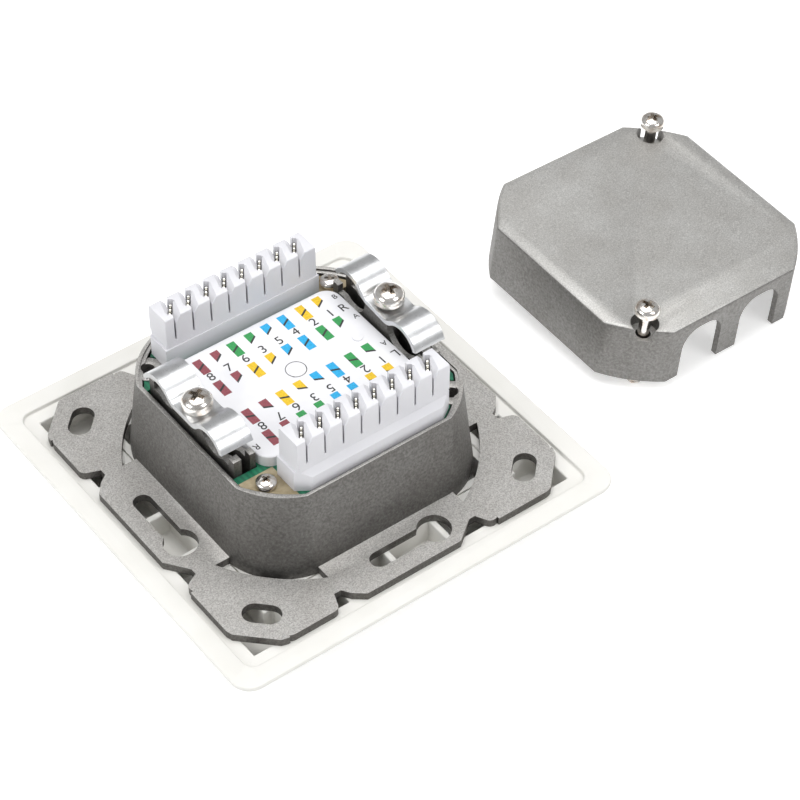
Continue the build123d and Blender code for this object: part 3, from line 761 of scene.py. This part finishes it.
# Height of each row's middle, its colours, and whether it belongs to the back block
rows = [
    (11.1, outer_colors, True),
    (4.8, inner_colors, True),
    (-3.65, inner_colors, False),
    (-9.75, outer_colors, False),
]
patch_half_w = 0.8
patch_half_h = 1.875
for level, colors, at_back in rows:
    for color, digit, x in zip(colors, order, columns):
        y = level + row_slope * x
        l, r, top = x - patch_half_w, x + patch_half_w, y + patch_half_h
        if digit in "8642":
            # Even wires have a whole field with a bar across its middle
            flat(color, [(l, y - patch_half_h), (r, y - patch_half_h), (r, top), (l, top)])
            low, high = (y - 0.47, y + 0.5) if at_back else (y + 0.35, y - 0.3)
            slant(l, r, low, high, 0.22)
        else:
            # Odd wires have a short field that ends in the bar
            low, high = (top - 2.4, top - 1.3) if at_back else (top - 1.55, top - 2.35)
            flat(color, [(l, low), (r, high), (r, top), (l, top)])
            slant(l, r, low, high, 0.2)

# Thin ring in the middle of the card
ring_x, ring_y = -0.08, 0.65
ring_in, ring_out = 1.78, 1.92
ring_steps = 48
for k in range(ring_steps):
    a, b = (2 * math.pi * j / ring_steps for j in (k, k + 1))
    corners = ((ring_in, a), (ring_out, a), (ring_out, b), (ring_in, b))
    flat("black", [(ring_x + r * math.cos(t), ring_y + r * math.sin(t)) for r, t in corners])

for name, bm in flats.items():
    bmesh.ops.recalc_face_normals(bm, faces=bm.faces)
    add("print_" + name, to_mesh(bm, "print_" + name), inks[name], slot="card_white")


def figure(bm, text, x, y, size, turn):
    """Adds one printed character to the bmesh."""
    curve = bpy.data.curves.new("figure", "FONT")
    curve.body = text
    curve.size = size * MM
    curve.align_x = "CENTER"
    curve.align_y = "CENTER"
    curve.extrude = 0.02 * MM
    obj = bpy.data.objects.new("figure", curve)
    scene.collection.objects.link(obj)
    bpy.context.view_layer.update()
    mesh = applied(obj)
    drop(obj)
    spin = Matrix.Rotation(math.radians(turn + print_turn), 4, "Z")
    mesh.transform(Matrix.Translation((x * MM, y * MM, z_print * MM)) @ spin)
    bm.from_mesh(mesh)


print_turn = 1.35
digit_size = 2.7
digits_back, digits_front, front_shift = 8.08, -6.57, 0.35
figures = bmesh.new()
for digit, x in zip(order, columns):
    figure(figures, digit, x, digits_back + row_slope * x, digit_size, 0)
    figure(figures, digit, x + front_shift, digits_front + row_slope * x, digit_size, 180)
for text, x, y, size, turn in (
        ("R", 15.5, 8.2, 2.6, 0), ("L", 16.0, -6.4, 2.6, 180), ("B", 15.9, 11.35, 1.6, 0),
        ("A", 16.0, 5.15, 1.6, 0), ("A", 15.9, -3.2, 1.6, 180), ("R", -16.1, -10.4, 1.9, 180)):
    figure(figures, text, x, y, size, turn)
add("print_figures", to_mesh(figures, "print_figures"), inks["black"], slot="card_white")


# Floor, light and camera

floor_half = 3000
floor_deep = 2.0
floor_glow = 0.45
world_light = 0.42
floor_mesh = to_mesh(prism(box_outline(floor_half, floor_half), -floor_deep, 0.0), "floor")
floor = bpy.data.objects.new("floor", floor_mesh)
scene.collection.objects.link(floor)


def either_ray(tree, first, second):
    """1 for the two kinds of ray that see the pale background, 0 for the others."""
    path = tree.nodes.new("ShaderNodeLightPath")
    seen = tree.nodes.new("ShaderNodeMath")
    seen.operation = "MAXIMUM"
    tree.links.new(path.outputs[first], seen.inputs[0])
    tree.links.new(path.outputs[second], seen.inputs[1])
    return seen.outputs[0]


floor_look = bpy.data.materials.new("floor")
floor_look.use_nodes = True
tree = floor_look.node_tree
bsdf = tree.nodes["Principled BSDF"]
bsdf.inputs["Base Color"].default_value = (0.9, 0.9, 0.9, 1)
bsdf.inputs["Roughness"].default_value = 0.9
bsdf.inputs["Specular IOR Level"].default_value = 0.1
bsdf.inputs["Emission Color"].default_value = (1, 1, 1, 1)
glow = tree.nodes.new("ShaderNodeMath")
glow.operation = "MULTIPLY"
glow.inputs[1].default_value = floor_glow
tree.links.new(either_ray(tree, "Is Camera Ray", "Is Glossy Ray"), glow.inputs[0])
tree.links.new(glow.outputs[0], bsdf.inputs["Emission Strength"])
floor_mesh.materials.append(floor_look)

world = bpy.data.worlds.new("studio")
scene.world = world
world.use_nodes = True
tree = world.node_tree
background = tree.nodes["Background"]
background.inputs["Color"].default_value = (1, 1, 1, 1)
level = tree.nodes.new("ShaderNodeMapRange")
level.inputs["To Min"].default_value = world_light
level.inputs["To Max"].default_value = 1.0
tree.links.new(either_ray(tree, "Is Camera Ray", "Is Transmission Ray"), level.inputs["Value"])
tree.links.new(level.outputs["Result"], background.inputs["Strength"])


def lamp(name, place, target, size, power):
    light = bpy.data.lights.new(name, "AREA")
    light.shape = "RECTANGLE"
    light.size = size[0]
    light.size_y = size[1]
    light.energy = power
    obj = bpy.data.objects.new(name, light)
    obj.location = place
    obj.rotation_euler = (Vector(target) - Vector(place)).to_track_quat("-Z", "Y").to_euler()
    scene.collection.objects.link(obj)


lamp("overhead", (0.05, 0.1, 1.0), (0.03, 0, 0), (0.9, 0.7), 6.9)
lamp("key", (0.35, -0.75, 0.75), (0.03, 0, 0), (0.45, 0.35), 2.6)
lamp("fill", (-0.8, 0.05, 0.5), (-0.01, 0, 0.02), (0.5, 0.4), 2.2)

# Camera at the photograph's angle; the focal length was fitted in pixels of a frame 800 wide
photo_w = 800
focal_px = 2838.09
sensor_w = 36.0
camera_at = Vector((-194.758, -286.748, 370.951)) * MM
camera_turn = (44.603, -0.1325, -36.936)
camera_data = bpy.data.cameras.new("camera")
camera_data.sensor_width = sensor_w
camera_data.lens = sensor_w * focal_px / photo_w
camera_data.clip_start = 0.01
camera_data.clip_end = 20.0
camera = bpy.data.objects.new("camera", camera_data)
camera.location = camera_at
camera.rotation_euler = [math.radians(a) for a in camera_turn]
scene.collection.objects.link(camera)
scene.camera = camera
